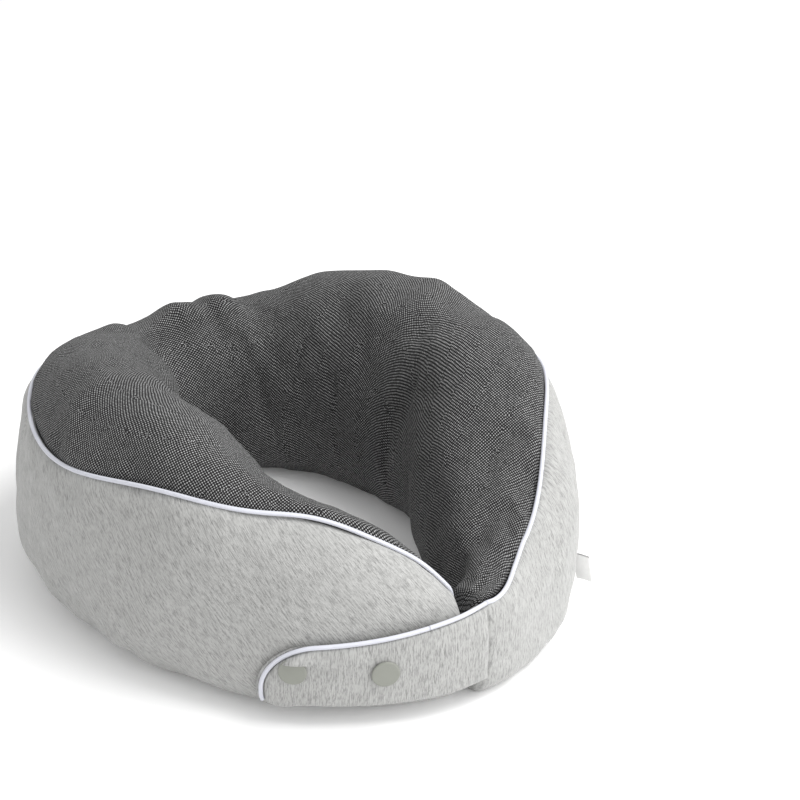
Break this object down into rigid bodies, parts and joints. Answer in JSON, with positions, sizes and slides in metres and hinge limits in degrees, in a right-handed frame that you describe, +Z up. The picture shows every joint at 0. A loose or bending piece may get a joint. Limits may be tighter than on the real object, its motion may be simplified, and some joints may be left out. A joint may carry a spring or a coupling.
{
  "type": "u-shaped neck pillow",
  "caption": "Padded U-shaped neck pillow with a dark knitted top, light jersey sides, white piping, a snap strap over the arm tips and a hanging snap hook.",
  "frame": {"origin": "centre of the outline on the flat base", "axes": "+Z up; -Y towards the opening between the arms; +X towards the arm that carries the strap"},
  "size_m": [0.2915, 0.3218, 0.1295],
  "materials": {
    "foam": "open-cell foam",
    "liner": "thin plain knit",
    "dark_mesh": "two-tone knitted mesh",
    "jersey": "heather jersey",
    "piping": "smooth covered cord",
    "snap": "satin",
    "label": "woven tape",
    "tape": "woven tape",
    "coil": "nylon coil",
    "steel": "dark satin",
    "webbing": "ribbed webbing"
  },
  "bodies": {
    "right_half": {"foam_core_right": "foam", "inner_liner_right": "liner", "top_panel_right": "dark_mesh", "side_panel_right": "jersey", "bottom_panel_right": "jersey", "piping_right": "piping", "brand_label": "label", "webbing_loop": "webbing", "zip_tape_upper": "tape", "zip_tape_lower": "tape", "zip_coil_upper": "coil", "zip_coil_lower": "coil", "zip_stop_start": "steel", "zip_stop_end": "steel"},
    "left_half": {"foam_core_left": "foam", "inner_liner_left": "liner", "top_panel_left": "dark_mesh", "side_panel_left": "jersey", "bottom_panel_left": "jersey", "piping_left": "piping", "snap_stud_1": "snap", "snap_stud_2": "snap"},
    "strap_near": {"strap_root": "jersey", "strap_piping_root": "piping", "snap_cap_1": "snap", "snap_socket_1": "snap"},
    "strap_end": {"strap_tail": "jersey", "strap_piping_tail": "piping", "snap_cap_2": "snap", "snap_socket_2": "snap"},
    "slider": {"zip_slider": "steel"},
    "pull": {"zip_pull": "steel"},
    "ring": {"d_ring": "steel"},
    "eye": {"swivel_eye": "steel"},
    "hook": {"hook_body": "steel", "gate_pin": "steel"},
    "gate": {"hook_gate": "steel"}
  },
  "joints": [
    {"name": "arm_spread", "type": "hinge", "parent": "right_half", "child": "left_half", "pos_m": [-0.0037, 0.1605, 0], "axis": [0, 0, -1], "range_deg": [0, 30], "stiffness_Nm_per_rad": 2},
    {"name": "strap_open", "type": "hinge", "parent": "right_half", "child": "strap_near", "pos_m": [-0.00813, -0.16202, 0], "axis": [0, 0, 1], "range_deg": [0, 105]},
    {"name": "strap_peel", "type": "hinge", "parent": "strap_near", "child": "strap_end", "pos_m": [-0.08048, -0.13882, 0], "axis": [0, 0, 1], "range_deg": [0, 95]},
    {"name": "zip_run", "type": "hinge", "parent": "right_half", "child": "slider", "pos_m": [-0.0113, 0.016, 0], "axis": [0, 0, 1], "range_deg": [0, 37]},
    {"name": "pull_flip", "type": "hinge", "parent": "slider", "child": "pull", "pos_m": [0.11495, 0.09343, 0.032], "axis": [0, 0, -1], "range_deg": [0, 165]},
    {"name": "ring_swing", "type": "hinge", "parent": "right_half", "child": "ring", "pos_m": [0.14151, 0.05308, 0.086], "axis": [0.309, -0.9511, 0], "range_deg": [-3, 90]},
    {"name": "eye_swing", "type": "hinge", "parent": "ring", "child": "eye", "pos_m": [0.14151, 0.05308, 0.0737], "axis": [0.309, -0.9511, 0], "range_deg": [-2, 75]},
    {"name": "hook_turn", "type": "hinge", "parent": "eye", "child": "hook", "pos_m": [0.14151, 0.05308, 0.06635], "axis": [0, 0, 1], "continuous": true},
    {"name": "gate_open", "type": "hinge", "parent": "hook", "child": "gate", "pos_m": [0.14018, 0.05717, 0.05595], "axis": [-0.9511, -0.309, 0], "range_deg": [0, 20], "stiffness_Nm_per_rad": 0.02, "springref_deg": -5.73}
  ],
  "couplings": [
    {"joint": "strap_open", "follows": "arm_spread", "ratio": 3.5}
  ]
}
